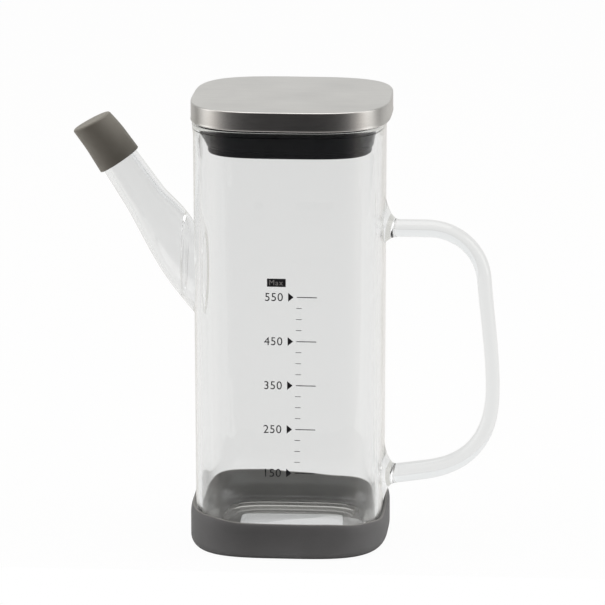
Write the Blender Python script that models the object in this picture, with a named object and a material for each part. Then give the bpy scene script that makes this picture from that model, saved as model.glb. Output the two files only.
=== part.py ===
"""Glass oil bottle: a rounded square jar with a welded pouring spout and handle, a push-in lid,
a spout cap and a boot.

Metres, +Z up. The bottle stands on z = 0 with the jar's axis on Z. The spout points to -X, the
handle to +X, and the face that carries the volume scale looks to -Y.
"""

import math

import bmesh
import bpy
from mathutils import Vector

MM = 0.001

# Fit between neighbouring pieces
fit = 0.3 * MM

# Jar, a rounded square in plan
body_width = 80.0 * MM
body_squareness = 3.45
glass_wall = 2.0 * MM
glass_floor = 3.0 * MM
jar_height = 180.7 * MM
foot_radius = 9.0 * MM
inner_foot_radius = 9.0 * MM
body_flare = 0.5 * MM
lip_flare = 1.0 * MM
lip_height = 6.0 * MM

# Pouring spout: an upper and a lower outline from the wall to the neck, then a straight stretch
spout_root_rise = 112.9 * MM
spout_root_height = 38.2 * MM
spout_root_width = 27.0 * MM
spout_upper_angle = math.radians(64.0)
spout_upper_pull = 10.5 * MM
spout_upper_neck_pull = 5.0 * MM
spout_lower_angle = math.radians(49.0)
spout_lower_neck_angle = math.radians(62.0)
spout_lower_pull = 25.0 * MM
spout_spread_power = 2.0
spout_neck_reach = 21.9 * MM
spout_neck_rise = 31.9 * MM
spout_neck_diameter = 18.0 * MM
spout_tip_angle = math.radians(56.1)
spout_tip_diameter = 15.0 * MM
spout_straight = 37.0 * MM
spout_wall = 1.8 * MM

# Spout cap, on the end of the spout's straight stretch
cap_depth = 18.1 * MM
cap_wall = 1.1 * MM
cap_top = 2.4 * MM
cap_edge = 1.1 * MM
cap_lean = 0.65 * MM
cap_lean_length = 10.0 * MM
cap_lean_power = 1.3
cap_top_tilt = math.radians(6.0)

# Handle, a glass rod bent to a loop beside the jar
handle_top_rise = 132.6 * MM
handle_bottom_rise = 23.7 * MM
handle_arm = 18.0 * MM
handle_arm_climb = 2.7 * MM
handle_top_reach = 42.7 * MM
handle_reach = 46.6 * MM
handle_top_bend = 22.2 * MM
handle_top_fullness = 0.56
handle_bottom_bend = 38.6 * MM
handle_bottom_fullness = 0.63
handle_top_thickness = 7.5 * MM
handle_bottom_thickness = 8.2 * MM
handle_grip_thickness = 6.2 * MM
handle_waist = 5.9 * MM
handle_breadth_share = 1.2

# Welds of the handle: how far they swell above, below and beside the rod at the wall
weld_length = 6.5 * MM
weld_power = 2.6
top_weld_above = 10.5 * MM
top_weld_below = 3.0 * MM
bottom_weld_above = 12.0 * MM
bottom_weld_below = 7.5 * MM
bottom_weld_foot_power = 4.5
weld_spread = 3.5 * MM

# Boot, a soft sleeve with an open window in its floor
boot_wall = 2.0 * MM
boot_floor = 3.6 * MM
boot_height = 16.4 * MM
boot_edge_radius = 4.5 * MM
boot_rim_lean = 1.2 * MM
boot_rim_drop = 4.0 * MM
boot_window_width = 46.0 * MM
boot_window_depth = 54.0 * MM
boot_window_squareness = 8.0

# How far the boot's soft rim stands above or below its height, in equal steps from +X towards +Y
boot_rim_wave_mm = (-2.2, 0.8, 0.2, -0.1, 1.0, 2.1, 2.7, 2.3, 1.6, 1.3, 0.9, -0.5, -0.6, -0.6, -1.7, -3.0)

# Lid: pressed shell, moulded core and soft seal
shell_overhang = 1.45 * MM
shell_sheet = 0.8 * MM
shell_skirt = 8.2 * MM
shell_edge_radius = 0.9 * MM
lid_offset = 0.9 * MM
core_recess = 0.7 * MM
spigot_wall_gap = 8.0 * MM
spigot_lip = 1.5 * MM
spigot_lip_height = 1.2 * MM
seal_flange = 1.1 * MM
seal_flange_inset = 0.9 * MM
seal_depth = 11.8 * MM
seal_neck = 0.9 * MM
seal_fin_depth = 2.5 * MM
seal_taper = 2.3 * MM
seal_taper_depth = 8.5 * MM
seal_groove = 0.5 * MM
seal_toe = 0.7 * MM
seal_toe_radius = 0.8 * MM

# Mesh fineness
OUTLINE_POINTS = 64
TUBE_POINTS = 32
ARC_STEPS = 4
SPOUT_STEPS = 8
LEAN_STEPS = 4
BEND_STEPS = 8
GRIP_STEPS = 5
WELD_SHARES = (0.0, 0.15, 0.35, 0.6, 1.0)

# Heights that follow from the sizes above
jar_base = boot_floor + fit
jar_rim = jar_base + jar_height
lip_start = jar_rim - lip_height
jar_inner_floor = jar_base + glass_floor
flange_base = jar_rim + fit
flange_top = flange_base + seal_flange
core_base = flange_top + fit
shell_base = core_base - core_recess
shell_top = shell_base + shell_skirt
seal_base = jar_rim - seal_depth
spout_root_z = jar_base + spout_root_rise
handle_top_z = jar_base + handle_top_rise
handle_bottom_z = jar_base + handle_bottom_rise

UPRIGHT = math.radians(90)

COLOURS = {
    "borosilicate_glass": ((0.86, 0.88, 0.87, 1.0), 0.03, 0.0),
    "brushed_stainless_steel": ((0.57, 0.56, 0.53, 1.0), 0.32, 1.0),
    "black_polypropylene": ((0.012, 0.012, 0.014, 1.0), 0.40, 0.0),
    "black_silicone": ((0.010, 0.011, 0.016, 1.0), 0.32, 0.0),
    "grey_silicone": ((0.110, 0.106, 0.103, 1.0), 0.60, 0.0),
    "warm_grey_silicone": ((0.125, 0.118, 0.106, 1.0), 0.60, 0.0),
}


def clear_scene():
    for obj in list(bpy.data.objects):
        bpy.data.objects.remove(obj)


def new_collection(name):
    collection = bpy.data.collections.new(name)
    bpy.context.scene.collection.children.link(collection)
    return collection


def material(name):
    colour, roughness, metallic = COLOURS[name]
    made = bpy.data.materials.get(name) or bpy.data.materials.new(name)
    made.use_nodes = True
    shader = made.node_tree.nodes["Principled BSDF"]
    shader.inputs["Base Color"].default_value = colour
    shader.inputs["Roughness"].default_value = roughness
    shader.inputs["Metallic"].default_value = metallic
    if name == "borosilicate_glass":
        shader.inputs["Transmission Weight"].default_value = 1.0
        shader.inputs["IOR"].default_value = 1.47
    return made


def signed_power(value, power):
    return math.copysign(abs(value) ** power, value)


def rounded_square(outset, z, shift=0.0):
    """The jar's plan outline moved out by outset along its own normals, at height z."""
    half = body_width / 2
    ring = []
    for index in range(OUTLINE_POINTS):
        turn = 2 * math.pi * index / OUTLINE_POINTS
        x = signed_power(math.cos(turn), 2 / body_squareness)
        y = signed_power(math.sin(turn), 2 / body_squareness)
        slope = Vector((signed_power(x, body_squareness - 1), signed_power(y, body_squareness - 1)))
        slope.normalize()
        ring.append(Vector((half * x + outset * slope.x + shift, half * y + outset * slope.y, z)))
    return ring


def tube_ring(centre, tilt, half_height, half_width):
    """An ellipse about centre. Its height runs along tilt, above +X in the XZ plane, its width along Y."""
    up = Vector((math.cos(tilt), 0, math.sin(tilt))) * half_height
    across = Vector((0, half_width, 0))
    turns = [2 * math.pi * index / TUBE_POINTS for index in range(TUBE_POINTS)]
    return [centre + up * math.cos(turn) + across * math.sin(turn) for turn in turns]


def arc(centre, radius, start, end):
    """Points (outset, z) on an arc about centre, from the start angle to the end angle in degrees."""
    angles = [math.radians(start + (end - start) * step / ARC_STEPS) for step in range(ARC_STEPS + 1)]
    return [(centre[0] + radius * math.cos(a), centre[1] + radius * math.sin(a)) for a in angles]


def blend(start, end, share):
    return start + (end - start) * share


def bezier(points, t):
    s = 1 - t
    weights = (s**3, 3 * s * s * t, 3 * s * t * t, t**3)
    return sum((point * weight for point, weight in zip(points, weights)), Vector((0, 0, 0)))


def loft(name, rings, material_name, collection, ends_meet=False):
    """One closed body over rings of equal length. Its ends are filled, or joined to each other."""
    mesh = bpy.data.meshes.new(name)
    bm = bmesh.new()
    loops = [[bm.verts.new(point) for point in ring] for ring in rings]
    pairs = list(zip(loops, loops[1:]))
    if ends_meet:
        pairs.append((loops[-1], loops[0]))
    else:
        bm.faces.new(loops[0])
        bm.faces.new(loops[-1])
    for low, high in pairs:
        for index in range(len(low)):
            after = (index + 1) % len(low)
            bm.faces.new((low[index], low[after], high[after], high[index]))
    bmesh.ops.recalc_face_normals(bm, faces=bm.faces)
    bm.to_mesh(mesh)
    bm.free()
    mesh.shade_smooth()
    mesh.set_sharp_from_angle(angle=math.radians(40))
    mesh.materials.append(material(material_name))
    obj = bpy.data.objects.new(name, mesh)
    collection.objects.link(obj)
    return obj


def wall_outset(z):
    """How far the jar's outside stands out from its foot outline at height z."""
    if z <= lip_start:
        return body_flare * (z - jar_base) / (lip_start - jar_base)
    return blend(body_flare, lip_flare, (z - lip_start) / lip_height)


def jar_profile():
    """(outset, z) from the middle of the base, up the outside, over the lip and down to the inner floor."""
    lip = glass_wall / 2
    inside = wall_outset(lip_start) - glass_wall
    inner_foot = (-glass_wall - inner_foot_radius, jar_inner_floor + inner_foot_radius)
    return (
        arc((-foot_radius, jar_base + foot_radius), foot_radius, -90, 0)
        + [(wall_outset(lip_start), lip_start)]
        + arc((lip_flare - lip, jar_rim - lip), lip, 0, 180)
        + [(inside, lip_start)]
        + arc(inner_foot, inner_foot_radius, 0, -90)
    )


def make_jar(collection, cutters):
    rings = [rounded_square(*point) for point in jar_profile()]
    jar = loft("glass_vessel", rings, "borosilicate_glass", collection)
    bpy.ops.mesh.primitive_cylinder_add(vertices=TUBE_POINTS, radius=1.0, depth=1.0)
    port = bpy.context.object
    port.name = "spout_port_cutter"
    port.location = (-body_width / 2, 0, spout_root_z)
    port.rotation_euler = (0, UPRIGHT, 0)
    port.scale = (spout_root_height / 2 - spout_wall, spout_root_width / 2 - spout_wall, 4 * glass_wall)
    bpy.ops.object.transform_apply(location=False, rotation=True, scale=True)
    for holder in list(port.users_collection):
        holder.objects.unlink(port)
    cutters.objects.link(port)
    port.hide_render = True
    port.display_type = "WIRE"
    cut = jar.modifiers.new("spout_port", "BOOLEAN")
    cut.operation = "DIFFERENCE"
    cut.object = port


def outward(angle):
    """The direction to -X that climbs at the angle."""
    return Vector((-math.cos(angle), 0, math.sin(angle)))


def spout_root():
    top = spout_root_z + spout_root_height / 2
    return Vector((-body_width / 2 - wall_outset(top) - fit, 0, spout_root_z))


def spout_neck():
    return spout_root() + Vector((-spout_neck_reach, 0, spout_neck_rise))


def spout_stations():
    """(centre, tilt, half height, half width) from the root on the wall to the tip."""
    root, neck = spout_root(), spout_neck()
    root_half = Vector((0, 0, spout_root_height / 2))
    neck_radius = spout_neck_diameter / 2
    neck_half = outward(spout_tip_angle - UPRIGHT) * neck_radius
    upper = (
        root + root_half,
        root + root_half + outward(spout_upper_angle) * spout_upper_pull,
        neck - neck_half - outward(spout_tip_angle) * spout_upper_neck_pull,
        neck - neck_half,
    )
    lower = (
        root - root_half,
        root - root_half + outward(spout_lower_angle) * spout_lower_pull,
        neck + neck_half - outward(spout_lower_neck_angle) * spout_lower_pull,
        neck + neck_half,
    )
    stations = []
    for step in range(SPOUT_STEPS):
        t = step / SPOUT_STEPS
        above, below = bezier(upper, t), bezier(lower, t)
        across = above - below
        width = blend(neck_radius, spout_root_width / 2, (1 - t) ** spout_spread_power)
        tilt = math.atan2(across.z, across.x)
        stations.append(((above + below) / 2, tilt, across.length / 2, width))
    for share in (0.0, 0.5, 1.0):
        along = spout_straight * share
        radius = spout_radius(along)
        centre = neck + outward(spout_tip_angle) * along
        stations.append((centre, UPRIGHT - spout_tip_angle, radius, radius))
    return stations


def make_spout(collection):
    stations = spout_stations()
    outer = [tube_ring(*station) for station in stations]
    inner = [
        tube_ring(centre, tilt, height - spout_wall, width - spout_wall)
        for centre, tilt, height, width in reversed(stations)
    ]
    loft("pouring_spout", outer + inner, "borosilicate_glass", collection, ends_meet=True)


def spout_radius(along):
    """The spout's outer radius this far along its straight stretch."""
    return blend(spout_neck_diameter, spout_tip_diameter, along / spout_straight) / 2


def make_cap(collection):
    """The outside leans over towards the closed end. The hollow follows the spout's tip."""
    mouth = spout_straight - cap_depth
    closed = spout_straight + fit
    top = closed + cap_top
    lean_start = top - cap_lean_length

    def ring(along, radius, share=0.0):
        lean = outward(spout_tip_angle - UPRIGHT) * cap_lean * share**cap_lean_power
        centre = spout_neck() + outward(spout_tip_angle) * along + lean
        return tube_ring(centre, UPRIGHT - spout_tip_angle - cap_top_tilt * share, radius, radius)

    def outer_radius(along):
        return spout_radius(along) + fit + cap_wall

    lip = cap_wall / 3
    outside = [ring(mouth, outer_radius(mouth) - lip), ring(mouth + lip, outer_radius(mouth))]
    for step in range(LEAN_STEPS + 1):
        share = step / LEAN_STEPS
        along = blend(lean_start, top - cap_edge, share)
        outside.append(ring(along, outer_radius(along), share))
    top_radius = outer_radius(top - cap_edge) - cap_edge
    for offset, rise in arc((top_radius, top - cap_edge), cap_edge, 0, 90)[1:]:
        outside.append(ring(rise, offset, 1.0))
    inside = [ring(closed, spout_radius(spout_straight) + fit), ring(mouth, spout_radius(mouth) + fit)]
    loft("spout_cap", outside[::-1] + inside[::-1], "warm_grey_silicone", collection)


def weld_stations(z, radius, above, below, below_power, direction):
    """Stations along a weld from the wall to the plain rod, which heads off at the direction's angle."""
    root = Vector((body_width / 2 + wall_outset(z + above) + fit, 0, z))
    stations = []
    for share in WELD_SHARES:
        flare = (1 - share) ** weld_power
        top = radius + above * flare
        bottom = radius + below * (1 - share) ** below_power
        climb = math.tan(direction) * weld_length * share
        centre = root + Vector((weld_length * share, 0, climb + (top - bottom) / 2))
        width = radius * handle_breadth_share + weld_spread * flare
        stations.append((centre, UPRIGHT + direction * share, (top + bottom) / 2, width))
    return stations


def rod_stations(points, start_thickness, end_thickness, steps):
    """Stations along one bend of the rod, after its first point."""
    stations = []
    for step in range(1, steps + 1):
        t = step / steps
        centre = bezier(points, t)
        along = bezier(points, t + 0.001) - bezier(points, t - 0.001)
        radius = blend(start_thickness, end_thickness, t) / 2
        tilt = math.atan2(along.z, along.x) + UPRIGHT
        stations.append((centre, tilt, radius, radius * handle_breadth_share))
    return stations


def handle_stations():
    """(centre, tilt, half height, half width) from the upper weld down the grip to the lower weld."""
    rise = math.atan2(handle_arm_climb, handle_arm)
    top_radius, bottom_radius = handle_top_thickness / 2, handle_bottom_thickness / 2
    upper = weld_stations(handle_top_z, top_radius, top_weld_above, top_weld_below, weld_power, 0.0)
    lower = weld_stations(
        handle_bottom_z, bottom_radius, bottom_weld_above, bottom_weld_below, bottom_weld_foot_power, rise
    )
    wall = body_width / 2 + fit
    shoulder = Vector((wall + handle_arm, 0, handle_top_z))
    heel = Vector((wall + handle_arm, 0, handle_bottom_z + handle_arm_climb))
    grip_top = Vector((wall + handle_top_reach, 0, handle_top_z - handle_top_bend))
    grip_bottom = Vector((wall + handle_reach, 0, handle_bottom_z + handle_bottom_bend))
    lean = (grip_bottom - grip_top) / 3
    level, down = Vector((1, 0, 0)), Vector((0, 0, -1))
    arm = Vector((math.cos(rise), 0, math.sin(rise)))
    top_bend = (
        shoulder,
        shoulder + level * (grip_top.x - shoulder.x) * handle_top_fullness,
        grip_top - lean.normalized() * (shoulder.z - grip_top.z) * handle_top_fullness,
        grip_top,
    )
    grip = (grip_top, grip_top + lean, grip_bottom - down * lean.length, grip_bottom)
    bottom_bend = (
        grip_bottom,
        grip_bottom + down * (grip_bottom.z - heel.z) * handle_bottom_fullness,
        heel + arm * (grip_bottom.x - heel.x) * handle_bottom_fullness,
        heel,
    )
    stations = upper + [(shoulder, UPRIGHT, top_radius, top_radius * handle_breadth_share)]
    stations += rod_stations(top_bend, handle_top_thickness, handle_grip_thickness, BEND_STEPS)
    stations += rod_stations(grip, handle_grip_thickness, handle_waist, GRIP_STEPS)
    stations += rod_stations(bottom_bend, handle_waist, handle_bottom_thickness, BEND_STEPS)
    for centre, tilt, height, width in reversed(lower):
        stations.append((centre, tilt - 2 * UPRIGHT, height, width))
    return stations


def make_handle(collection):
    """A round rod, a little broader than thick, that swells where it is welded to the jar."""
    rings = [tube_ring(*station) for station in handle_stations()]
    loft("glass_handle", rings, "borosilicate_glass", collection)


def rim_wave(point):
    """The rim's wave in the direction of the point, blended smoothly from one step to the next."""
    count = len(boot_rim_wave_mm)
    place = math.atan2(point.y, point.x) / (2 * math.pi) * count % count
    start = int(place)
    share = (1 - math.cos(math.pi * (place - start))) / 2
    return blend(boot_rim_wave_mm[start], boot_rim_wave_mm[(start + 1) % count], share) * MM


def window_ring(z):
    """The outline of the window in the boot's floor, a rectangle with rounded corners."""
    power = 2 / boot_window_squareness
    ring = []
    for index in range(OUTLINE_POINTS):
        turn = 2 * math.pi * index / OUTLINE_POINTS
        x = boot_window_width / 2 * signed_power(math.cos(turn), power)
        y = boot_window_depth / 2 * signed_power(math.sin(turn), power)
        ring.append(Vector((x, y, z)))
    return ring


def boot_rim():
    """(outset, z) up the outside of the rim, which leans in to a narrow flat top beside the glass."""
    crest = fit + boot_wall - boot_rim_lean
    base = boot_height - boot_rim_drop
    profile = []
    for step in range(ARC_STEPS + 1):
        turn = math.radians(90 * step / ARC_STEPS)
        profile.append((crest + boot_rim_lean * math.cos(turn), base + boot_rim_drop * math.sin(turn)))
    return profile + [(fit, boot_height)]


def make_boot(collection):
    outer = fit + boot_wall
    inner_radius = foot_radius + fit
    edge = arc((outer - boot_edge_radius, boot_edge_radius), boot_edge_radius, -90, 0)
    foot = arc((fit - inner_radius, boot_floor + inner_radius), inner_radius, 0, -90)
    rim = [rounded_square(*point) for point in boot_rim()]
    for ring in rim:
        for point in ring:
            point.z += rim_wave(point)
    rings = [rounded_square(*point) for point in edge]
    rings += rim
    rings += [rounded_square(*point) for point in foot]
    rings += [window_ring(boot_floor), window_ring(0.0)]
    loft("base_boot", rings, "grey_silicone", collection, ends_meet=True)


def make_shell(collection):
    """Pressed cap: flat top, short skirt and a hem with a rounded edge."""
    outside = lip_flare + shell_overhang
    inside = outside - shell_sheet
    hem = shell_sheet / 2
    inner_radius = shell_edge_radius - shell_sheet
    profile = (
        arc((outside - shell_edge_radius, shell_top - shell_edge_radius), shell_edge_radius, 90, 0)
        + arc((outside - hem, shell_base + hem), hem, 0, -180)
        + arc((inside - inner_radius, shell_top - shell_edge_radius), inner_radius, 0, 90)
    )
    rings = [rounded_square(outset, z, lid_offset) for outset, z in profile]
    loft("lid_shell", rings, "brushed_stainless_steel", collection)


def spigot_outset():
    return -glass_wall - spigot_wall_gap


def make_core(collection):
    """Moulded plate inside the shell, with a plug below it that carries the seal."""
    plate = lip_flare + shell_overhang - shell_sheet - fit
    spigot = spigot_outset()
    lip_top = seal_base + spigot_lip_height
    profile = [
        (plate, shell_top - shell_sheet - fit),
        (plate, core_base),
        (spigot, core_base),
        (spigot, lip_top),
        (spigot + spigot_lip, lip_top),
        (spigot + spigot_lip, seal_base),
    ]
    rings = [rounded_square(outset, z, lid_offset) for outset, z in profile]
    loft("lid_core", rings, "black_polypropylene", collection)


def make_seal(collection):
    """Soft ring on the plug: a flange on the glass rim, a neck, a fin at the mouth, a taper and a toe.

    Flange, neck and fin are centred on the mouth. The rest sits off-centre with the lid.
    """
    bore = spigot_outset() + fit
    fin_z = jar_rim - seal_fin_depth
    fin = wall_outset(fin_z) - glass_wall - fit
    taper_z = jar_rim - seal_taper_depth
    taper = fin - seal_taper
    toe = taper - seal_toe
    lip_bore = bore + spigot_lip
    lip_top = seal_base + spigot_lip_height + fit
    flange = lip_flare - seal_flange_inset
    at_mouth = [
        (flange, flange_top),
        (flange, flange_base),
        (fin - seal_neck, flange_base),
        (fin - seal_neck, fin_z + 2 * seal_groove),
        (fin, fin_z + seal_groove),
        (fin, fin_z),
    ]
    on_lid = (
        [(taper, taper_z), (taper, taper_z - seal_groove), (toe, taper_z - 2 * seal_groove)]
        + arc((toe - seal_toe_radius, seal_base + seal_toe_radius), seal_toe_radius, 0, -90)
        + [(lip_bore, seal_base), (lip_bore, lip_top), (bore, lip_top), (bore, flange_top)]
    )
    rings = [rounded_square(*point) for point in at_mouth]
    rings += [rounded_square(outset, z, lid_offset) for outset, z in on_lid]
    loft("lid_seal", rings, "black_silicone", collection, ends_meet=True)


def main():
    clear_scene()
    parts = new_collection("oil_bottle")
    cutters = new_collection("cutters")
    make_boot(parts)
    make_jar(parts, cutters)
    make_spout(parts)
    make_cap(parts)
    make_handle(parts)
    make_core(parts)
    make_seal(parts)
    make_shell(parts)


main()
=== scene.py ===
"""Looks for the glass oil bottle: fused glass, brushed lid, soft seal, cap and boot, and the volume scale.

Metres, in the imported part's frame: +Z up, the spout to -X, the handle to +X, the scale on the -Y face.
"""

import math

import bmesh
import bpy
from mathutils import Matrix, Vector


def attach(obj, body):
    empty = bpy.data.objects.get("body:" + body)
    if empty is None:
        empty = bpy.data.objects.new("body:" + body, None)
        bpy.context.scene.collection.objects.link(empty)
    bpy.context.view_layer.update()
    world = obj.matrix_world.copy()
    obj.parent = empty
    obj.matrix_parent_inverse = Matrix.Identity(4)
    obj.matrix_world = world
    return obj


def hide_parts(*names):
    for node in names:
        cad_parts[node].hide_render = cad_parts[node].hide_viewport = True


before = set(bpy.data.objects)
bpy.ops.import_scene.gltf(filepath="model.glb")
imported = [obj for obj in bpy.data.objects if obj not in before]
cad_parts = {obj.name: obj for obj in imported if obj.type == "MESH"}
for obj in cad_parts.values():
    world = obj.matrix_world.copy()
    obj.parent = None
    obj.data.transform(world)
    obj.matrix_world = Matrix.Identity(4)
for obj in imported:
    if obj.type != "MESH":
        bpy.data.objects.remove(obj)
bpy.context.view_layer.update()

MM = 0.001
UPRIGHT = math.radians(90)

# Fineness of the looks
OUTLINE_POINTS = 192
TUBE_POINTS = 48
CREASE = math.radians(35)

# Free gap round the glass under the soft parts
fit = 0.3 * MM

# Jar, a rounded square in plan that widens a little towards the lip
body_half = 40.0 * MM
body_squareness = 3.45
glass_wall = 2.0 * MM
jar_base = 3.9 * MM
jar_floor = 6.9 * MM
lip_start = 178.6 * MM
jar_rim = 184.6 * MM
foot_radius = 9.0 * MM
inner_foot_radius = 5.5 * MM
underside_hollow = 0.25 * MM
underside_ring = 2.0 * MM
body_flare = 0.5 * MM
lip_flare = 1.0 * MM
jar_ring_gap = 10.0 * MM

# Pouring spout, from a wide root on the wall through a bend to a straight tube that tapers to the tip
spout_root = Vector((-40.65 * MM, 0, 116.8 * MM))
spout_root_half = 19.1 * MM
spout_root_half_width = 13.5 * MM
spout_root_depth = 1.6 * MM
spout_bore_depth = 6.0 * MM
spout_upper_angle = math.radians(64)
spout_upper_pull = 10.5 * MM
spout_upper_neck_pull = 5.0 * MM
spout_lower_angle = math.radians(49)
spout_lower_neck_angle = math.radians(62)
spout_lower_pull = 25.0 * MM
spout_spread_power = 2
spout_neck = Vector((-62.55 * MM, 0, 148.7 * MM))
spout_neck_radius = 9.0 * MM
spout_tip_radius = 7.5 * MM
spout_straight = 37.0 * MM
spout_angle = math.radians(56.1)
spout_wall = 1.8 * MM
spout_lip = spout_wall / 2

# Bead inside the spout's root
seam_radius = 0.5 * MM
seam_reach = 4.9 * MM
seam_side_gap = 1.9 * MM

# Handle, a bent glass rod
handle_top_z = 136.5 * MM
handle_bottom_z = 27.6 * MM
handle_arm = 18.0 * MM
handle_arm_end = 58.3 * MM
handle_arm_climb = 2.7 * MM
grip_top = Vector((83.0 * MM, 0, 114.3 * MM))
grip_bottom = Vector((86.9 * MM, 0, 66.2 * MM))
handle_top_fullness = 0.56
handle_bottom_fullness = 0.63
handle_top_radius = 3.75 * MM
handle_grip_radius = 3.1 * MM
handle_waist_radius = 2.95 * MM
handle_bottom_radius = 4.1 * MM
handle_breadth_share = 1.2

# Welds between handle and jar, spread wide at the wall
weld_length = 6.5 * MM
weld_power = 2.6
weld_spread = 3.5 * MM
weld_depth = 1.4 * MM
top_weld_above = 10.5 * MM
top_weld_below = 3.0 * MM
bottom_weld_above = 12.0 * MM
bottom_weld_below = 7.5 * MM
bottom_weld_foot_power = 4.5

# Light that turns back and forth inside the glass this often is taken as even: it leaks out all over
TRAPPED_AFTER = 9.0
TRAPPED_TONE = "D2D2CE"


def hex_colour(code):
    """An sRGB hex code as the linear colour that Blender's sockets take."""
    channels = [int(code[start:start + 2], 16) / 255 for start in (0, 2, 4)]
    return tuple(c / 12.92 if c <= 0.04045 else ((c + 0.055) / 1.055) ** 2.4 for c in channels) + (1.0,)


def add_node(tree, kind, settings=(), **links):
    """One node with its settings. Each link names an input, or its number, and gives a value or output."""
    node = tree.nodes.new("ShaderNode" + kind)
    for name, value in dict(settings).items():
        setattr(node, name, value)
    for name, value in links.items():
        socket = node.inputs[int(name[1:]) if name.startswith("_") else name.replace("_", " ")]
        if isinstance(value, bpy.types.NodeSocket):
            tree.links.new(value, socket)
        else:
            socket.default_value = value
    return node


def new_material(name):
    """A material with its node tree and its main shader."""
    made = bpy.data.materials.new(name)
    made.use_nodes = True
    tree = made.node_tree
    return made, tree, tree.nodes["Principled BSDF"]


def borosilicate_glass():
    """Clear drawn borosilicate, fire-polished: a faint grey body and long soft waves in its surface."""
    wave_length, wave_height = 45 * MM, 0.6 * MM
    made, tree, shader = new_material("borosilicate_glass")
    place = add_node(tree, "TexCoord").outputs["Object"]
    shader.inputs["Base Color"].default_value = hex_colour("FCFCFC")
    shader.inputs["Roughness"].default_value = 0.0
    shader.inputs["IOR"].default_value = 1.47
    shader.inputs["Transmission Weight"].default_value = 1.0
    waves = add_node(tree, "TexNoise", Vector=place, Scale=1 / wave_length, Detail=1.0)
    bump = add_node(tree, "Bump", Height=waves.outputs["Fac"], Strength=0.12, Distance=wave_height)
    tree.links.new(bump.outputs["Normal"], shader.inputs["Normal"])
    bounces = add_node(tree, "LightPath").outputs["Ray Depth"]
    trapped = add_node(tree, "Math", {"operation": "GREATER_THAN"}, _0=bounces, _1=TRAPPED_AFTER)
    leak = add_node(tree, "Emission", Color=hex_colour(TRAPPED_TONE), Strength=1.0)
    whole = add_node(tree, "MixShader", _0=trapped.outputs[0], _1=shader.outputs[0], _2=leak.outputs[0])
    tree.links.new(whole.outputs[0], tree.nodes["Material Output"].inputs["Surface"])
    return made


def brushed_steel():
    """Stainless steel sheet, brushed along the lid: fine grain with a satin sheen and faint clouds.

    The real grain is about a tenth of a millimetre wide. It is drawn coarser here so that it shows.
    """
    grain_length, grain_width, grain_depth = 14 * MM, 0.45 * MM, 0.02 * MM
    cloud_size = 30 * MM
    made, tree, shader = new_material("brushed_stainless_steel")
    place = add_node(tree, "TexCoord").outputs["Object"]
    shader.inputs["Metallic"].default_value = 1.0
    shader.inputs["Anisotropic"].default_value = 0.4
    grain_scale = (1 / grain_length, 1 / grain_width, 1 / grain_width)
    grain_space = add_node(tree, "Mapping", Vector=place, Scale=grain_scale)
    grain = add_node(tree, "TexNoise", Vector=grain_space.outputs[0], Scale=1.0, Detail=3.0)
    clouds = add_node(tree, "TexNoise", Vector=place, Scale=1 / cloud_size, Detail=3.0)
    mixed = add_node(
        tree, "Mix", {"data_type": "FLOAT"}, _0=0.45, _2=clouds.outputs["Fac"], _3=grain.outputs["Fac"]
    )
    tone = add_node(tree, "ValToRGB", Fac=mixed.outputs[0])
    tone.color_ramp.elements[0].position = 0.3
    tone.color_ramp.elements[0].color = hex_colour("CBCBCA")
    tone.color_ramp.elements[1].position = 0.7
    tone.color_ramp.elements[1].color = hex_colour("E0E0DE")
    tree.links.new(tone.outputs["Color"], shader.inputs["Base Color"])
    rough = add_node(tree, "MapRange", Value=mixed.outputs[0], To_Min=0.28, To_Max=0.40)
    tree.links.new(rough.outputs[0], shader.inputs["Roughness"])
    bump = add_node(tree, "Bump", Height=grain.outputs["Fac"], Strength=0.15, Distance=grain_depth)
    tree.links.new(bump.outputs["Normal"], shader.inputs["Normal"])
    return made


def moulded(name, dark, light, roughness, grit, depth):
    """Moulded rubber or plastic: a close grit from the tool, and cloudy tone where it was handled.

    The real grit is a few hundredths of a millimetre wide. It is drawn coarser here so that it shows.
    """
    cloud_size = 22 * MM
    spread = 0.06
    made, tree, shader = new_material(name)
    place = add_node(tree, "TexCoord").outputs["Object"]
    clouds = add_node(tree, "TexNoise", Vector=place, Scale=1 / cloud_size, Detail=4.0)
    tone = add_node(tree, "ValToRGB", Fac=clouds.outputs["Fac"])
    tone.color_ramp.elements[0].position = 0.3
    tone.color_ramp.elements[0].color = hex_colour(dark)
    tone.color_ramp.elements[1].position = 0.7
    tone.color_ramp.elements[1].color = hex_colour(light)
    tree.links.new(tone.outputs["Color"], shader.inputs["Base Color"])
    rough = add_node(
        tree, "MapRange", Value=clouds.outputs["Fac"], To_Min=roughness - spread, To_Max=roughness + spread
    )
    tree.links.new(rough.outputs[0], shader.inputs["Roughness"])
    pits = add_node(tree, "TexNoise", Vector=place, Scale=1 / grit, Detail=2.0)
    bump = add_node(tree, "Bump", Height=pits.outputs["Fac"], Strength=0.4, Distance=depth)
    tree.links.new(bump.outputs["Normal"], shader.inputs["Normal"])
    return made


def printed_ink(name, dark, light):
    """Screen-printed enamel, fired on the glass: a slight gloss and an uneven, worn tone."""
    patch_size = 1.2 * MM
    made, tree, shader = new_material(name)
    place = add_node(tree, "TexCoord").outputs["Object"]
    wear = add_node(tree, "TexNoise", Vector=place, Scale=1 / patch_size, Detail=2.0)
    tone = add_node(tree, "ValToRGB", Fac=wear.outputs["Fac"])
    tone.color_ramp.elements[0].color = hex_colour(dark)
    tone.color_ramp.elements[1].color = hex_colour(light)
    tree.links.new(tone.outputs["Color"], shader.inputs["Base Color"])
    shader.inputs["Roughness"].default_value = 0.45
    return made


# Shapes


def signed_power(value, power):
    return math.copysign(abs(value) ** power, value)


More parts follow.
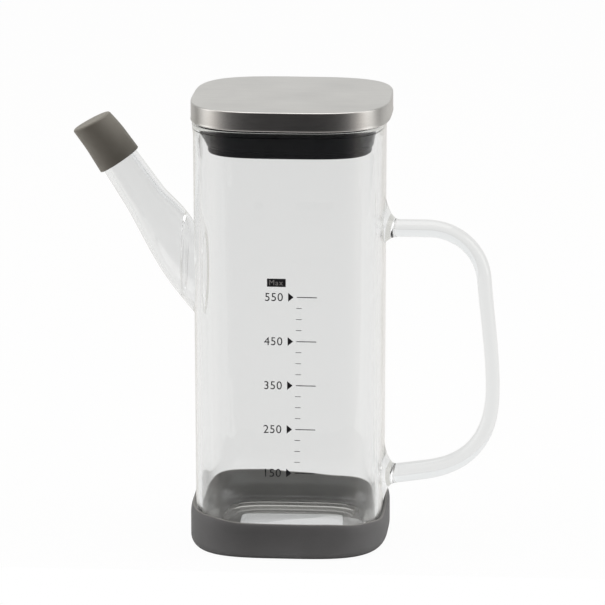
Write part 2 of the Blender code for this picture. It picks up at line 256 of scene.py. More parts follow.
def rounded_square(outset, z, shift=0.0):
    """The jar's plan outline at height z, moved out by outset along its own normals and by shift to +X."""
    ring = []
    for index in range(OUTLINE_POINTS):
        turn = 2 * math.pi * index / OUTLINE_POINTS
        x = signed_power(math.cos(turn), 2 / body_squareness)
        y = signed_power(math.sin(turn), 2 / body_squareness)
        slope = Vector((signed_power(x, body_squareness - 1), signed_power(y, body_squareness - 1)))
        slope.normalize()
        ring.append(Vector((body_half * x + outset * slope.x + shift, body_half * y + outset * slope.y, z)))
    return ring


def tube_ring(centre, tilt, half_height, half_width):
    """An ellipse about centre. Its height runs along tilt, above +X in the XZ plane, its width along Y."""
    up = Vector((math.cos(tilt), 0, math.sin(tilt))) * half_height
    across = Vector((0, half_width, 0))
    turns = [2 * math.pi * index / TUBE_POINTS for index in range(TUBE_POINTS)]
    return [centre + up * math.cos(turn) + across * math.sin(turn) for turn in turns]


def arc(centre, radius, start, end, steps):
    """Points (outset, z) on an arc about centre, from the start angle to the end angle in degrees."""
    angles = [math.radians(start + (end - start) * step / steps) for step in range(steps + 1)]
    return [(centre[0] + radius * math.cos(a), centre[1] + radius * math.sin(a)) for a in angles]


def blend(start, end, share):
    return start + (end - start) * share


def bezier(points, t):
    s = 1 - t
    weights = (s**3, 3 * s * s * t, 3 * s * t * t, t**3)
    return sum((point * weight for point, weight in zip(points, weights)), Vector((0, 0, 0)))


def loft(name, rings, ends_meet=False):
    """One closed mesh over rings of equal length. Its ends are filled, or joined to each other."""
    mesh = bpy.data.meshes.new(name)
    bm = bmesh.new()
    loops = [[bm.verts.new(point) for point in ring] for ring in rings]
    pairs = list(zip(loops, loops[1:]))
    if ends_meet:
        pairs.append((loops[-1], loops[0]))
    else:
        bm.faces.new(loops[0])
        bm.faces.new(loops[-1])
    for low, high in pairs:
        for index in range(len(low)):
            after = (index + 1) % len(low)
            bm.faces.new((low[index], low[after], high[after], high[index]))
    bmesh.ops.recalc_face_normals(bm, faces=bm.faces)
    bm.to_mesh(mesh)
    bm.free()
    mesh.shade_smooth()
    mesh.set_sharp_from_angle(angle=CREASE)
    return placed(name, mesh)


def placed(name, mesh):
    """The mesh as an object of the scene."""
    obj = bpy.data.objects.new(name, mesh)
    bpy.context.scene.collection.objects.link(obj)
    return obj


# Fused glass


def wall_outset(z):
    """How far the jar's outside stands out from its foot outline at height z."""
    if z <= lip_start:
        return body_flare * (z - jar_base) / (lip_start - jar_base)
    return blend(body_flare, lip_flare, (z - lip_start) / (jar_rim - lip_start))


def wall_heights(start):
    """Heights of the mesh rings up the wall, from above the foot's curve to where the lip begins."""
    count = int((lip_start - start) / jar_ring_gap)
    return [start + jar_ring_gap * step for step in range(1, count + 1)] + [lip_start]


def jar_outside():
    """The underside is a little hollow inside a ring that the jar stands on."""
    lip = glass_wall / 2
    foot_z = jar_base + foot_radius
    profile = []
    for share in (1.0, 0.35):
        profile.append((-foot_radius - underside_ring * share, jar_base + underside_hollow * share))
    profile += arc((-foot_radius, foot_z), foot_radius, -90, 0, 12)
    profile += [(wall_outset(z), z) for z in wall_heights(foot_z)]
    profile += arc((lip_flare - lip, jar_rim - lip), lip, 0, 90, 8)
    return loft("jar_outside", [rounded_square(*point) for point in profile])


def jar_inside():
    """The hollow, cut a little past the rim, whose inner edge it rounds."""
    lip = glass_wall / 2
    foot_z = jar_floor + inner_foot_radius
    past_rim = jar_rim + 2 * MM
    profile = arc((-glass_wall - inner_foot_radius, foot_z), inner_foot_radius, -90, 0, 12)
    profile += [(wall_outset(z) - glass_wall, z) for z in wall_heights(foot_z)]
    profile += arc((lip_flare - lip, jar_rim - lip), lip, 180, 96, 8)
    profile += [(profile[-1][0], past_rim)]
    return loft("jar_inside", [rounded_square(*point) for point in profile])


def outward(angle):
    """The direction to -X that climbs at the angle."""
    return Vector((-math.cos(angle), 0, math.sin(angle)))


def spout_radius(along):
    """The straight tube's radius at a distance from the neck."""
    return blend(spout_neck_radius, spout_tip_radius, along / spout_straight)


def spout_stations():
    """(centre, tilt, half height, half width) from the root on the wall to the tip."""
    root_half = Vector((0, 0, spout_root_half))
    neck_half = outward(spout_angle - UPRIGHT) * spout_neck_radius
    upper = (
        spout_root + root_half,
        spout_root + root_half + outward(spout_upper_angle) * spout_upper_pull,
        spout_neck - neck_half - outward(spout_angle) * spout_upper_neck_pull,
        spout_neck - neck_half,
    )
    lower = (
        spout_root - root_half,
        spout_root - root_half + outward(spout_lower_angle) * spout_lower_pull,
        spout_neck + neck_half - outward(spout_lower_neck_angle) * spout_lower_pull,
        spout_neck + neck_half,
    )
    stations = []
    bend_steps, straight_steps = 24, 12
    for step in range(bend_steps):
        t = step / bend_steps
        above, below = bezier(upper, t), bezier(lower, t)
        across = above - below
        width = blend(spout_neck_radius, spout_root_half_width, (1 - t) ** spout_spread_power)
        tilt = math.atan2(across.z, across.x)
        stations.append(((above + below) / 2, tilt, across.length / 2, width))
    for step in range(straight_steps + 1):
        along = spout_straight * step / straight_steps
        radius = spout_radius(along)
        stations.append((spout_neck + outward(spout_angle) * along, UPRIGHT - spout_angle, radius, radius))
    return stations


def tip_rings(tube_radius, side, sweep):
    """Rings round the tip's edge over a sweep in degrees. They widen where side is 1, else they narrow."""
    tip = spout_neck + outward(spout_angle) * spout_straight
    steps = 5
    rings = []
    for step in range(steps + 1):
        turn = math.radians(sweep * step / steps)
        back = outward(spout_angle) * (-spout_lip * (1 - math.sin(turn)))
        radius = tube_radius + side * spout_lip * (1 - math.cos(turn))
        rings.append(tube_ring(tip + back, UPRIGHT - spout_angle, radius, radius))
    return rings


def spout_outside():
    """The solid spout, from inside the jar's wall to the tip."""
    inside_wall = spout_root + Vector((spout_root_depth, 0, 0))
    rings = [tube_ring(inside_wall, UPRIGHT, spout_root_half, spout_root_half_width)]
    rings += [tube_ring(*station) for station in spout_stations()[:-1]]
    rings += tip_rings(spout_tip_radius, -1, 90)
    return loft("spout_outside", rings)


def spout_bore():
    """The hollow, cut from inside the jar to a little past the tip."""
    half, width = spout_root_half - spout_wall, spout_root_half_width - spout_wall
    past_tip = outward(spout_angle) * 2 * MM
    rings = [tube_ring(spout_root + Vector((spout_bore_depth, 0, 0)), UPRIGHT, half, width)]
    for centre, tilt, half_height, half_width in spout_stations()[:-1]:
        rings.append(tube_ring(centre, tilt, half_height - spout_wall, half_width - spout_wall))
    rings += tip_rings(spout_tip_radius - spout_wall, 1, 78)
    rings.append([point + past_tip for point in rings[-1]])
    return loft("spout_bore", rings)


def spout_seam():
    """The bead inside the spout where its wide root was fused to a short collar on the jar."""
    x = spout_root.x - seam_reach
    edges = []
    for side in (1, -1):
        line = []
        for centre, tilt, half_height, _ in spout_stations():
            up = Vector((math.cos(tilt), 0, math.sin(tilt)))
            line.append(centre + up * side * (half_height - spout_wall))
        near, far = next((a, b) for a, b in zip(line, line[1:]) if b.x <= x)
        edges.append(near.lerp(far, (x - near.x) / (far.x - near.x)).z)
    centre_z, half_height = (edges[0] + edges[1]) / 2, (edges[0] - edges[1]) / 2
    half_width = spout_root_half_width - spout_wall - seam_side_gap
    steps = 8
    rings = []
    for step in range(steps):
        turn = 2 * math.pi * step / steps
        out = seam_radius * math.sin(turn)
        centre = Vector((x + seam_radius * math.cos(turn), 0, centre_z))
        rings.append(tube_ring(centre, UPRIGHT, half_height + out, half_width + out))
    return loft("spout_seam", rings, ends_meet=True)


def weld_stations(z, radius, above, below, below_power, direction):
    """Stations along a weld from inside the wall to the plain rod."""
    root = Vector((body_half + wall_outset(z), 0, z))
    breadth = radius * handle_breadth_share
    inside_wall = root + Vector((-weld_depth, 0, (above - below) / 2))
    stations = [(inside_wall, UPRIGHT, radius + (above + below) / 2, breadth + weld_spread)]
    steps = 16
    for step in range(steps + 1):
        share = step / steps
        flare = (1 - share) ** weld_power
        top = radius + above * flare
        bottom = radius + below * (1 - share) ** below_power
        climb = math.tan(direction) * weld_length * share
        centre = root + Vector((weld_length * share, 0, climb + (top - bottom) / 2))
        width = breadth + weld_spread * flare
        stations.append((centre, UPRIGHT + direction * share, (top + bottom) / 2, width))
    return stations


def rod_stations(points, start_radius, end_radius, steps):
    """Stations along a curve of the rod, after its first point."""
    nudge = 0.001
    stations = []
    for step in range(1, steps + 1):
        t = step / steps
        along = bezier(points, t + nudge) - bezier(points, t - nudge)
        radius = blend(start_radius, end_radius, t)
        tilt = math.atan2(along.z, along.x) + UPRIGHT
        stations.append((bezier(points, t), tilt, radius, radius * handle_breadth_share))
    return stations


def handle_rod():
    """From the upper weld out along the arm, down the grip and back along the climbing lower arm."""
    bend_steps, grip_steps = 24, 12
    rise = math.atan2(handle_arm_climb, handle_arm)
    shoulder = Vector((handle_arm_end, 0, handle_top_z))
    heel = Vector((handle_arm_end, 0, handle_bottom_z + handle_arm_climb))
    lean = (grip_bottom - grip_top) / 3
    level, down = Vector((1, 0, 0)), Vector((0, 0, -1))
    arm = Vector((math.cos(rise), 0, math.sin(rise)))
    top_bend = (
        shoulder,
        shoulder + level * (grip_top.x - shoulder.x) * handle_top_fullness,
        grip_top - lean.normalized() * (shoulder.z - grip_top.z) * handle_top_fullness,
        grip_top,
    )
    grip = (grip_top, grip_top + lean, grip_bottom - down * lean.length, grip_bottom)
    bottom_bend = (
        grip_bottom,
        grip_bottom + down * (grip_bottom.z - heel.z) * handle_bottom_fullness,
        heel + arm * (grip_bottom.x - heel.x) * handle_bottom_fullness,
        heel,
    )
    stations = weld_stations(
        handle_top_z, handle_top_radius, top_weld_above, top_weld_below, weld_power, 0.0
    )
    stations.append((shoulder, UPRIGHT, handle_top_radius, handle_top_radius * handle_breadth_share))
    stations += rod_stations(top_bend, handle_top_radius, handle_grip_radius, bend_steps)
    stations += rod_stations(grip, handle_grip_radius, handle_waist_radius, grip_steps)
    stations += rod_stations(bottom_bend, handle_waist_radius, handle_bottom_radius, bend_steps)
    lower = weld_stations(
        handle_bottom_z, handle_bottom_radius, bottom_weld_above, bottom_weld_below,
        bottom_weld_foot_power, rise,
    )
    stations += [(centre, tilt - 2 * UPRIGHT, a, b) for centre, tilt, a, b in reversed(lower)]
    return loft("handle_rod", [tube_ring(*station) for station in stations])


def fuse(name, base, welded, hollows, beads):
    """One closed mesh: the welded pieces added to the base, then the hollows cut, then the beads added."""
    steps = [(piece, "UNION") for piece in welded]
    steps += [(piece, "DIFFERENCE") for piece in hollows]
    steps += [(piece, "UNION") for piece in beads]
    for other, operation in steps:
        step = base.modifiers.new(other.name, "BOOLEAN")
        step.solver = "MANIFOLD"
        step.operation = operation
        step.object = other
    graph = bpy.context.evaluated_depsgraph_get()
    mesh = bpy.data.meshes.new_from_object(base.evaluated_get(graph))
    mesh.name = name
    mesh.shade_smooth()
    mesh.set_sharp_from_angle(angle=CREASE)
    for helper in (base, *welded, *hollows, *beads):
        bpy.data.objects.remove(helper)
    return placed(name, mesh)


def fused_glass():
    welded, hollows = [spout_outside(), handle_rod()], [jar_inside(), spout_bore()]
    piece = fuse("fused_glass_body", jar_outside(), welded, hollows, [spout_seam()])
    piece.data.materials.clear()
    piece.data.materials.append(borosilicate_glass())
    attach(piece, "bottle")
    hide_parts("glass_vessel", "pouring_spout", "glass_handle")


# Lid, whose shell, core and lower seal stand a little towards the handle

lid_offset = 0.9 * MM
shell_base = 185.6 * MM
shell_top = 193.8 * MM
seal_base = 172.8 * MM


def dress(piece, material, body, slot, *nodes):
    """Gives the piece its material and the body it moves with, and hides the nodes it stands for. Its slot
    is not used.
    """
    piece.data.materials.append(material)
    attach(piece, body)
    if nodes:
        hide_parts(*nodes)


def lid_shell():
    """Pressed steel cap: flat top, rounded shoulder, short skirt with a rolled hem."""
    outside = 2.45 * MM
    sheet = 0.8 * MM
    shoulder = 0.65 * MM
    hem = 0.5 * MM
    inner_corner = 0.3 * MM
    ceiling = shell_top - 0.6 * MM
    waist = outside - 0.12 * MM
    skirt_end, hem_start = shell_base + 2.6 * hem, shell_base + 2.0 * hem
    profile = (
        arc((waist - shoulder, shell_top - shoulder), shoulder, 90, 0, 8)
        + [(waist, skirt_end), (waist + 0.02 * MM, hem_start)]
        + arc((outside - hem, shell_base + hem), hem, 30, -180, 10)
        + arc((outside - sheet - inner_corner, ceiling - inner_corner), inner_corner, 0, 90, 4)
    )
    rings = [rounded_square(outset, z, lid_offset) for outset, z in profile]
    dress(loft("lid_shell_brushed", rings), brushed_steel(), "lid", "brushed_stainless_steel", "lid_shell")


def lid_core():
    """Dull black moulding: a plate under the steel, and a plug with a lip that holds the seal."""
    plate = 1.35 * MM
    plate_top = shell_top - 1.1 * MM
    plate_base = 186.3 * MM
    plug = -10.0 * MM
    lip = plug + 1.5 * MM
    lip_top = seal_base + 1.2 * MM
    edge = 0.5 * MM
    profile = [(plate, plate_top), (plate, plate_base), (plug, plate_base), (plug, lip_top), (lip, lip_top)]
    profile += arc((lip - edge, seal_base + edge), edge, 0, -90, 4)
    rings = [rounded_square(outset, z, lid_offset) for outset, z in profile]
    core = moulded("black_polypropylene", "141417", "1C1C1F", 0.4, 0.6 * MM, 0.01 * MM)
    core.node_tree.nodes["Principled BSDF"].inputs["Specular IOR Level"].default_value = 0.1
    dress(loft("lid_core_moulded", rings), core, "lid", "black_polypropylene", "lid_core")


def lid_seal():
    """Soft ring: a flange over the rim, a neck, a fin pressed to the glass, a taper and a rounded toe."""
    flange = 0.1 * MM
    flange_base, flange_top = 184.9 * MM, 186.0 * MM
    flange_edge = 0.5 * MM
    fin_z = 182.1 * MM
    fin = wall_outset(fin_z) - glass_wall + 0.13 * MM
    fin_edge = 0.25 * MM
    neck = fin - 1.33 * MM
    neck_end = fin_z + 1.0 * MM
    taper, taper_z = -3.8 * MM, 176.1 * MM
    toe, toe_top = taper - 0.7 * MM, taper_z - 0.7 * MM
    toe_radius = 0.8 * MM
    bore = -9.7 * MM
    groove, groove_top = bore + 1.5 * MM, seal_base + 1.5 * MM
    at_mouth = (
        arc((flange - flange_edge, flange_top - flange_edge), flange_edge, 90, 0, 4)
        + arc((flange - flange_edge, flange_base + flange_edge), flange_edge, 0, -90, 4)
        + arc((neck + flange_edge, flange_base - flange_edge), flange_edge, 90, 180, 4)
        + [(neck, neck_end)]
        + arc((fin - fin_edge, fin_z + fin_edge), fin_edge, 90, -30, 5)
    )
    on_lid = (
        arc((taper - fin_edge, taper_z), fin_edge, 25, -60, 4)
        + [(toe, toe_top)]
        + arc((toe - toe_radius, seal_base + toe_radius), toe_radius, 0, -90, 6)
        + [(groove, seal_base), (groove, groove_top), (bore, groove_top), (bore, flange_top)]
    )
    rings = [rounded_square(*point) for point in at_mouth]
    rings += [rounded_square(outset, z, lid_offset) for outset, z in on_lid]
    rubber = moulded("black_silicone", "0C0F15", "13161C", 0.3, 0.8 * MM, 0.01 * MM)
    rubber.node_tree.nodes["Principled BSDF"].inputs["Specular IOR Level"].default_value = 0.04
    dress(loft("lid_seal_soft", rings, ends_meet=True), rubber, "lid", "black_silicone", "lid_seal")


# Spout cap, placed by its distance from the spout's neck

cap_mouth = 18.9 * MM
cap_closed = 37.3 * MM
cap_top = 39.7 * MM
cap_wall = 1.1 * MM
cap_edge = 1.1 * MM
cap_mouth_edge = 0.45 * MM
cap_lean = 0.65 * MM
cap_lean_length = 10.0 * MM
cap_lean_power = 1.3
cap_top_tilt = math.radians(6)


def cap_ring(along, radius, share=0.0):
    """A ring of the cap, shifted and tilted by a share of the cap's full lean."""
    lean = outward(spout_angle - UPRIGHT) * cap_lean * share**cap_lean_power
    centre = spout_neck + outward(spout_angle) * along + lean
    return tube_ring(centre, UPRIGHT - spout_angle - cap_top_tilt * share, radius, radius)


def cap_radius(along):
    """The cap's outer radius at a distance from the neck."""
    return spout_radius(along) + fit + cap_wall


def spout_cap():
    """Soft cap: the outside leans over towards the closed end, which is flat with a rounded edge."""
    side_end = cap_top - cap_edge
    mouth_steps, side_steps = 4, 12
    outside = []
    for step in range(mouth_steps + 1):
        turn = math.radians(90 * step / mouth_steps)
        along = cap_mouth + cap_mouth_edge * (1 - math.cos(turn))
        outside.append(cap_ring(along, cap_radius(cap_mouth) - cap_mouth_edge * (1 - math.sin(turn))))
    for step in range(side_steps + 1):
        share = step / side_steps
        along = blend(cap_top - cap_lean_length, side_end, share)
        outside.append(cap_ring(along, cap_radius(along), share))
    for radius, along in arc((cap_radius(side_end) - cap_edge, side_end), cap_edge, 0, 90, 8)[1:]:
        outside.append(cap_ring(along, radius, 1.0))
    inside = [cap_ring(cap_closed, spout_tip_radius + fit)]
    inside.append(cap_ring(cap_mouth, spout_radius(cap_mouth) + fit))
    rubber = moulded("warm_grey_silicone", "817E76", "928F87", 0.55, 0.7 * MM, 0.02 * MM)
    rings = outside[::-1] + inside[::-1]
    dress(loft("spout_cap_soft", rings), rubber, "cap", "warm_grey_silicone", "spout_cap")


# Boot

window_half_width = 23.0 * MM
window_half_depth = 29.0 * MM
window_squareness = 14.0
window_turn = math.radians(3)

# How far the boot's soft rim stands above or below its height, in equal steps from +X towards +Y
boot_rim_wave_mm = (-2.2, 0.8, 0.2, -0.1, 1.0, 2.1, 2.7, 2.3, 1.6, 1.3, 0.9, -0.5, -0.6, -0.6, -1.7, -3.0)


def rim_wave(point):
    """The rim's wave in the direction of the point, blended smoothly from one step to the next."""
    count = len(boot_rim_wave_mm)
    place = math.atan2(point.y, point.x) / (2 * math.pi) * count % count
    start = int(place)
    share = (1 - math.cos(math.pi * (place - start))) / 2
    return blend(boot_rim_wave_mm[start], boot_rim_wave_mm[(start + 1) % count], share) * MM


def paint_light_paler(material, pale):
    """Paints light into the colour: paler where the mesh says so."""
    tree = material.node_tree
    shader = tree.nodes["Principled BSDF"]
    tone = shader.inputs["Base Color"].links[0].from_socket
    rubbed = add_node(tree, "Attribute", {"attribute_name": "rubbed"})
    mixed = add_node(
        tree, "Mix", {"data_type": "RGBA"}, _0=rubbed.outputs["Fac"], _6=tone, _7=hex_colour(pale)
    )
    tree.links.new(mixed.outputs[2], shader.inputs["Base Color"])


def window_ring(z, shrink):
    """The outline of the window in the boot's floor, a rounded rectangle that sits a little askew."""
    ring = []
    for index in range(OUTLINE_POINTS):
        turn = 2 * math.pi * index / OUTLINE_POINTS
        x = signed_power(math.cos(turn), 2 / window_squareness)
        y = signed_power(math.sin(turn), 2 / window_squareness)
        corner = Vector(((window_half_width + shrink) * x, (window_half_depth + shrink) * y, z))
        ring.append(Matrix.Rotation(window_turn, 3, "Z") @ corner)
    return ring


def boot():
    """Soft sleeve: rounded foot, a rim that leans in to the glass and waves, and a window in the floor."""
    outer, floor, height = 2.3 * MM, 3.6 * MM, 16.4 * MM
    lean, drop = 1.2 * MM, 4.0 * MM
    edge, rim_edge, window_edge = 4.5 * MM, 0.2 * MM, 0.6 * MM
    inner_radius = foot_radius + fit
    rim_steps = 16
    turns = [math.radians(90 * step / rim_steps) for step in range(rim_steps + 1)]
    rim = [(outer - lean + lean * math.cos(turn), height - drop + drop * math.sin(turn)) for turn in turns]
    below_rim = arc((outer - edge, edge), edge, -90, 0, 10)
    crest = len(below_rim) + len(rim) - 1
    rim += arc((fit + rim_edge, height - rim_edge), rim_edge, 90, 180, 4)
    foot = arc((fit - inner_radius, floor + inner_radius), inner_radius, 0, -90, 10)
    rings = [rounded_square(*point) for point in below_rim + rim + foot]
    for ring in rings[len(below_rim):len(below_rim) + len(rim)]:
        for point in ring:
            point.z += rim_wave(point)
    window = arc((window_edge, floor - window_edge), window_edge, 90, 180, 4)
    window += arc((window_edge, window_edge), window_edge, 180, 270, 4)
    rings += [window_ring(z, shrink) for shrink, z in window]
    rubber = moulded("grey_silicone", "6B6C6E", "757678", 0.62, 0.7 * MM, 0.02 * MM)
    # Painted light: the rim's crest and the boot's inside are painted paler
    paint_light_paler(rubber, "A1A09E")
    piece = loft("base_boot_soft", rings, ends_meet=True)
    # A painted highlight along the rim's crest, fading over a few rings, and painted light over the whole
    # inside
    rubbed_inside, rings_to_fade = 0.9, 4
    shares = []
    for index in range(len(rings)):
        at_crest = 1 - abs(index - crest) / rings_to_fade
        share = max(rubbed_inside if index > crest else 0.0, at_crest)
        shares += [share] * OUTLINE_POINTS
    piece.data.attributes.new("rubbed", "FLOAT", "POINT").data.foreach_set("value", shares)
    dress(piece, rubber, "boot", "grey_silicone", "base_boot")


# Volume scale, printed on the jar's front. Its left and right are measured from the jar's axis

PRINT_GAP = 0.01 * MM
PRINT_DEPTH = 0.06 * MM
BLACK_INK, PALE_INK = 0, 1


def front_face(x, z):
    """A point on the jar's outside, on the face that carries the scale."""
    inner = (1 - abs(x / body_half) ** body_squareness) ** (1 / body_squareness)
    return Vector((x, -body_half * inner - wall_outset(z), z))


def block(bm, corners):
    """A thin solid on the glass from its outline in (x, z)."""
    front = [bm.verts.new(front_face(x, z) + Vector((0, -PRINT_DEPTH, 0))) for x, z in corners]
    back = [bm.verts.new(front_face(x, z) + Vector((0, -PRINT_GAP, 0))) for x, z in corners]
    bm.faces.new(front)
    bm.faces.new(back[::-1])
    for index in range(len(corners)):
        after = (index + 1) % len(corners)
        bm.faces.new((front[after], front[index], back[index], back[after]))


def lettering(bm, text, x, z, size, spacing, depth=PRINT_DEPTH, seat_depth=PRINT_GAP, ink=BLACK_INK):
    """Plain figures or a plain word in Blender's own font, laid on the glass."""
    curve = bpy.data.curves.new(text, "FONT")
    curve.body = text
    curve.size = size
    curve.space_character = spacing
    curve.extrude = depth / 2
    holder = placed(text, curve)
    graph = bpy.context.evaluated_depsgraph_get()
    mesh = bpy.data.meshes.new_from_object(holder.evaluated_get(graph))
    bpy.data.objects.remove(holder)
    first, first_face = len(bm.verts), len(bm.faces)
    bm.from_mesh(mesh)
    bm.verts.ensure_lookup_table()
    bm.faces.ensure_lookup_table()
    for vert in bm.verts[first:]:
        seat = front_face(x + vert.co.x, z + vert.co.y)
        vert.co = seat + Vector((0, -seat_depth - depth / 2 - vert.co.z, 0))
    for face in bm.faces[first_face:]:
        face.material_index = ink


def tick(bm, z, left, right, half, fall):
    """A stroke of the scale, whose right end lies lower by fall."""
    low = z - fall
    block(bm, [(left, z - half), (right, low - half), (right, low + half), (left, z + half)])


def full_mark(bm):
    """A filled box with the word on it in pale ink."""
    left, right, low, high = -6.7 * MM, 1.2 * MM, 119.1 * MM, 122.6 * MM
    margin, size, spacing, word_depth = 0.7 * MM, 3.3 * MM, 1.12, 0.02 * MM
    block(bm, [(left, low), (right, low), (right, high), (left, high)])
    lettering(bm, "Max", left + margin, low + margin, size, spacing, word_depth, PRINT_DEPTH, PALE_INK)


def volume_scale():
    """Seventeen ticks, a long one with its figure and pointer at each fourth, and a full mark above."""
    top, bottom, ticks = 114.7 * MM, 38.2 * MM, 17
    drift_at_bottom = -1.0 * MM
    highest_ml, ml_a_tick = 550, 25
    short_left, short_right, short_half = 5.6 * MM, 8.0 * MM, 0.12 * MM
    long_left, long_right, long_half, long_fall = 5.9 * MM, 14.3 * MM, 0.18 * MM, 0.12 * MM
    pointer, pointer_tip, pointer_half = 2.2 * MM, 4.5 * MM, 1.9 * MM
    figure, figure_drop, figure_size, figure_spacing = -7.8 * MM, 1.7 * MM, 5.0 * MM, 1.08
    bm = bmesh.new()
    for index in range(ticks):
        share = index / (ticks - 1)
        z = blend(top, bottom, share)
        drift = drift_at_bottom * share
        if index % 4:
            tick(bm, z, short_left + drift, short_right + drift, short_half, 0.0)
            continue
        tick(bm, z, long_left + drift, long_right + drift, long_half, long_fall)
        left = pointer + drift
        block(bm, [(left, z - pointer_half), (pointer_tip + drift, z), (left, z + pointer_half)])
        text = str(highest_ml - ml_a_tick * index)
        lettering(bm, text, figure + drift, z - figure_drop, figure_size, figure_spacing)
    full_mark(bm)
    mesh = bpy.data.meshes.new("volume_scale")
    bmesh.ops.recalc_face_normals(bm, faces=bm.faces)
    bm.to_mesh(mesh)
    bm.free()
    piece = placed("volume_scale_print", mesh)
    dress(piece, printed_ink("black_enamel_print", "141416", "34343A"), "bottle", "black_polypropylene")
    mesh.materials.append(printed_ink("pale_enamel_print", "A6A6A6", "C0C0C0"))


# Studio

# The room that gloss mirrors: its tone by the direction's Y, from behind the camera to behind the bottle
ROOM_FRONT_TO_BACK = (
    (-0.95, "1A1A1C"),
    (-0.8, "49484A"),
    (-0.6, "A09D9B"),
    (-0.35, "F0E8E1"),
    (-0.1, "F2ECE6"),
    (0.25, "CAC8C4"),
    (0.52, "7E7C78"),
    (0.8, "CFCECB"),
    (1.0, "E6E5E3"),
)

# How bright white shows straight through glass, and where the glass mirrors the front of the room.
# Between the two values of the direction's Y the second brightness grows into the first
SEEN_THROUGH_GLASS = 0.875
GLASS_TINT = "FDFFFF"
MIRRORED_FROM_FRONT = 0.28
FRONT_ENDS, BACK_STARTS = -0.7, 0.5

LIT_POINT = Vector((0, 0, 0.1))


def studio_world():
    """White to the eye, near white through glass, dim where it mirrors the front, and a room for gloss."""
    world = bpy.data.worlds.new("studio")
    bpy.context.scene.world = world
    world.use_nodes = True
    tree = world.node_tree
    tree.nodes.clear()
    out = add_node(tree, "OutputWorld")
    ray = add_node(tree, "LightPath")
    direction = add_node(tree, "TexCoord").outputs["Generated"]
    parts = add_node(tree, "SeparateXYZ", Vector=direction)
    depth = add_node(tree, "MapRange", Value=parts.outputs["Y"], From_Min=-1.0, From_Max=1.0)
    tone = add_node(tree, "ValToRGB", Fac=depth.outputs[0])
    tone.color_ramp.interpolation = "EASE"
    stops = tone.color_ramp.elements
    for y, _ in ROOM_FRONT_TO_BACK[2:]:
        stops.new((y + 1) / 2)
    for stop, (y, colour) in zip(stops, ROOM_FRONT_TO_BACK):
        stop.position = (y + 1) / 2
        stop.color = hex_colour(colour)
    room = add_node(tree, "Background", Color=tone.outputs["Color"], Strength=1.0)
    beyond = add_node(tree, "Background", Color=hex_colour(GLASS_TINT), Strength=SEEN_THROUGH_GLASS)
    white = add_node(tree, "Background", Color=(1, 1, 1, 1), Strength=1.0)
    # An odd depth is light that went straight through a wall, an even one light mirrored inside the glass
    straight = add_node(tree, "Math", {"operation": "MODULO"}, _0=ray.outputs["Ray Depth"], _1=2.0)
    passed = ray.outputs["Is Transmission Ray"]
    through = add_node(tree, "Math", {"operation": "MULTIPLY"}, _0=passed, _1=straight.outputs[0])
    turned = add_node(
        tree, "MapRange", {"interpolation_type": "SMOOTHSTEP"}, Value=parts.outputs["Y"],
        From_Min=FRONT_ENDS, From_Max=BACK_STARTS, To_Min=MIRRORED_FROM_FRONT, To_Max=SEEN_THROUGH_GLASS,
    )
    inner = add_node(tree, "Background", Color=(1, 1, 1, 1), Strength=turned.outputs[0])
    gloss = add_node(tree, "MixShader", _0=passed, _1=room.outputs[0], _2=inner.outputs[0])
    glass = add_node(tree, "MixShader", _0=through.outputs[0], _1=gloss.outputs[0], _2=beyond.outputs[0])
    final = add_node(
        tree, "MixShader", _0=ray.outputs["Is Camera Ray"], _1=glass.outputs[0], _2=white.outputs[0]
    )
    tree.links.new(final.outputs[0], out.inputs["Surface"])


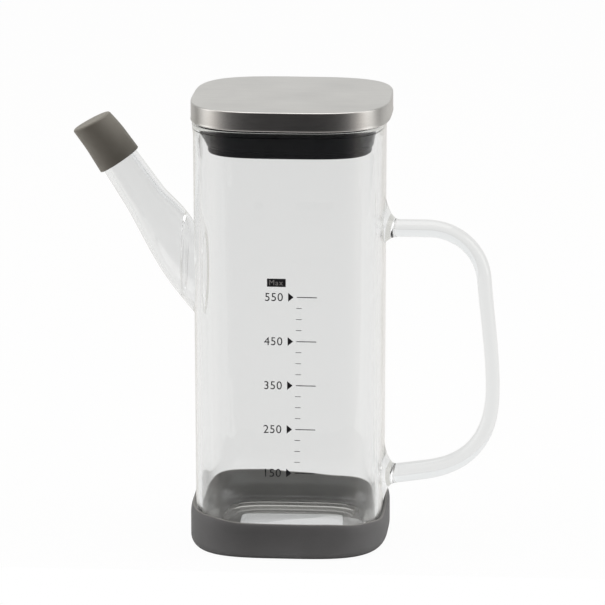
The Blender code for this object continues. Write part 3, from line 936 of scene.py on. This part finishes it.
def floor():
    """White paper that ends just in front of the bottle, white to the eye but for a soft shadow."""
    near, far, side = -0.06, 3.0, 0.7
    white_to_eye, white_in_glass = 0.96, 0.7
    mesh = bpy.data.meshes.new("floor")
    corners = [(-side, near, 0), (side, near, 0), (side, far, 0), (-side, far, 0)]
    mesh.from_pydata(corners, [], [(0, 1, 2, 3)])
    plane = placed("floor", mesh)
    made, tree, shader = new_material("white_paper")
    shader.inputs["Base Color"].default_value = hex_colour("F2F2F2")
    shader.inputs["Roughness"].default_value = 0.9
    ray = add_node(tree, "LightPath")
    white = add_node(tree, "Emission", Color=(1, 1, 1, 1), Strength=1.0)
    beyond = add_node(tree, "Emission", Color=hex_colour(GLASS_TINT), Strength=SEEN_THROUGH_GLASS)
    eye = add_node(
        tree, "Math", {"operation": "MULTIPLY"}, _0=ray.outputs["Is Camera Ray"], _1=white_to_eye
    )
    through = add_node(
        tree, "Math", {"operation": "MULTIPLY"}, _0=ray.outputs["Is Transmission Ray"], _1=white_in_glass
    )
    glass = add_node(tree, "MixShader", _0=through.outputs[0], _1=shader.outputs[0], _2=beyond.outputs[0])
    mix = add_node(tree, "MixShader", _0=eye.outputs[0], _1=glass.outputs[0], _2=white.outputs[0])
    tree.links.new(mix.outputs[0], tree.nodes["Material Output"].inputs["Surface"])
    mesh.materials.append(made)


def softbox(name, place, width, height, watts):
    """A rectangular lamp turned to the bottle."""
    light = bpy.data.lights.new(name, "AREA")
    light.shape = "RECTANGLE"
    light.size = width
    light.size_y = height
    light.energy = watts
    lamp = placed(name, light)
    lamp.location = place
    lamp.rotation_euler = (LIT_POINT - Vector(place)).to_track_quat("-Z", "Y").to_euler()


def camera():
    """The photograph's camera, fitted to the outlines of the jar and the lid."""
    lens = bpy.data.cameras.new("camera")
    lens.lens = 292.43
    lens.sensor_width = 36
    place = Vector((0.164742, -2.045456, 0.578679))
    forward = Vector((-0.0758001, 0.97122456, -0.22578129))
    up = Vector((-0.01653787, 0.22517705, 0.9741775))
    right = forward.cross(up)
    rows = [(right[axis], up[axis], -forward[axis], place[axis]) for axis in range(3)]
    holder = placed("camera", lens)
    holder.matrix_world = Matrix((*rows, (0, 0, 0, 1)))
    bpy.context.scene.camera = holder


def main():
    camera()
    fused_glass()
    lid_shell()
    lid_core()
    lid_seal()
    spout_cap()
    boot()
    volume_scale()
    floor()
    studio_world()
    softbox("overhead", (0, 0.2, 1.3), 1.2, 1.2, 5.8)
    softbox("left", (-1.3, -0.1, 0.6), 0.8, 1.2, 2.9)
    softbox("right", (1.3, -0.1, 0.6), 0.8, 1.2, 3.1)
    bpy.context.scene.view_settings.view_transform = "Standard"
    # Light passes many walls of glass before it leaves the bottle
    paths = bpy.context.scene.cycles
    paths.max_bounces = paths.glossy_bounces = paths.transmission_bounces = 40


main()
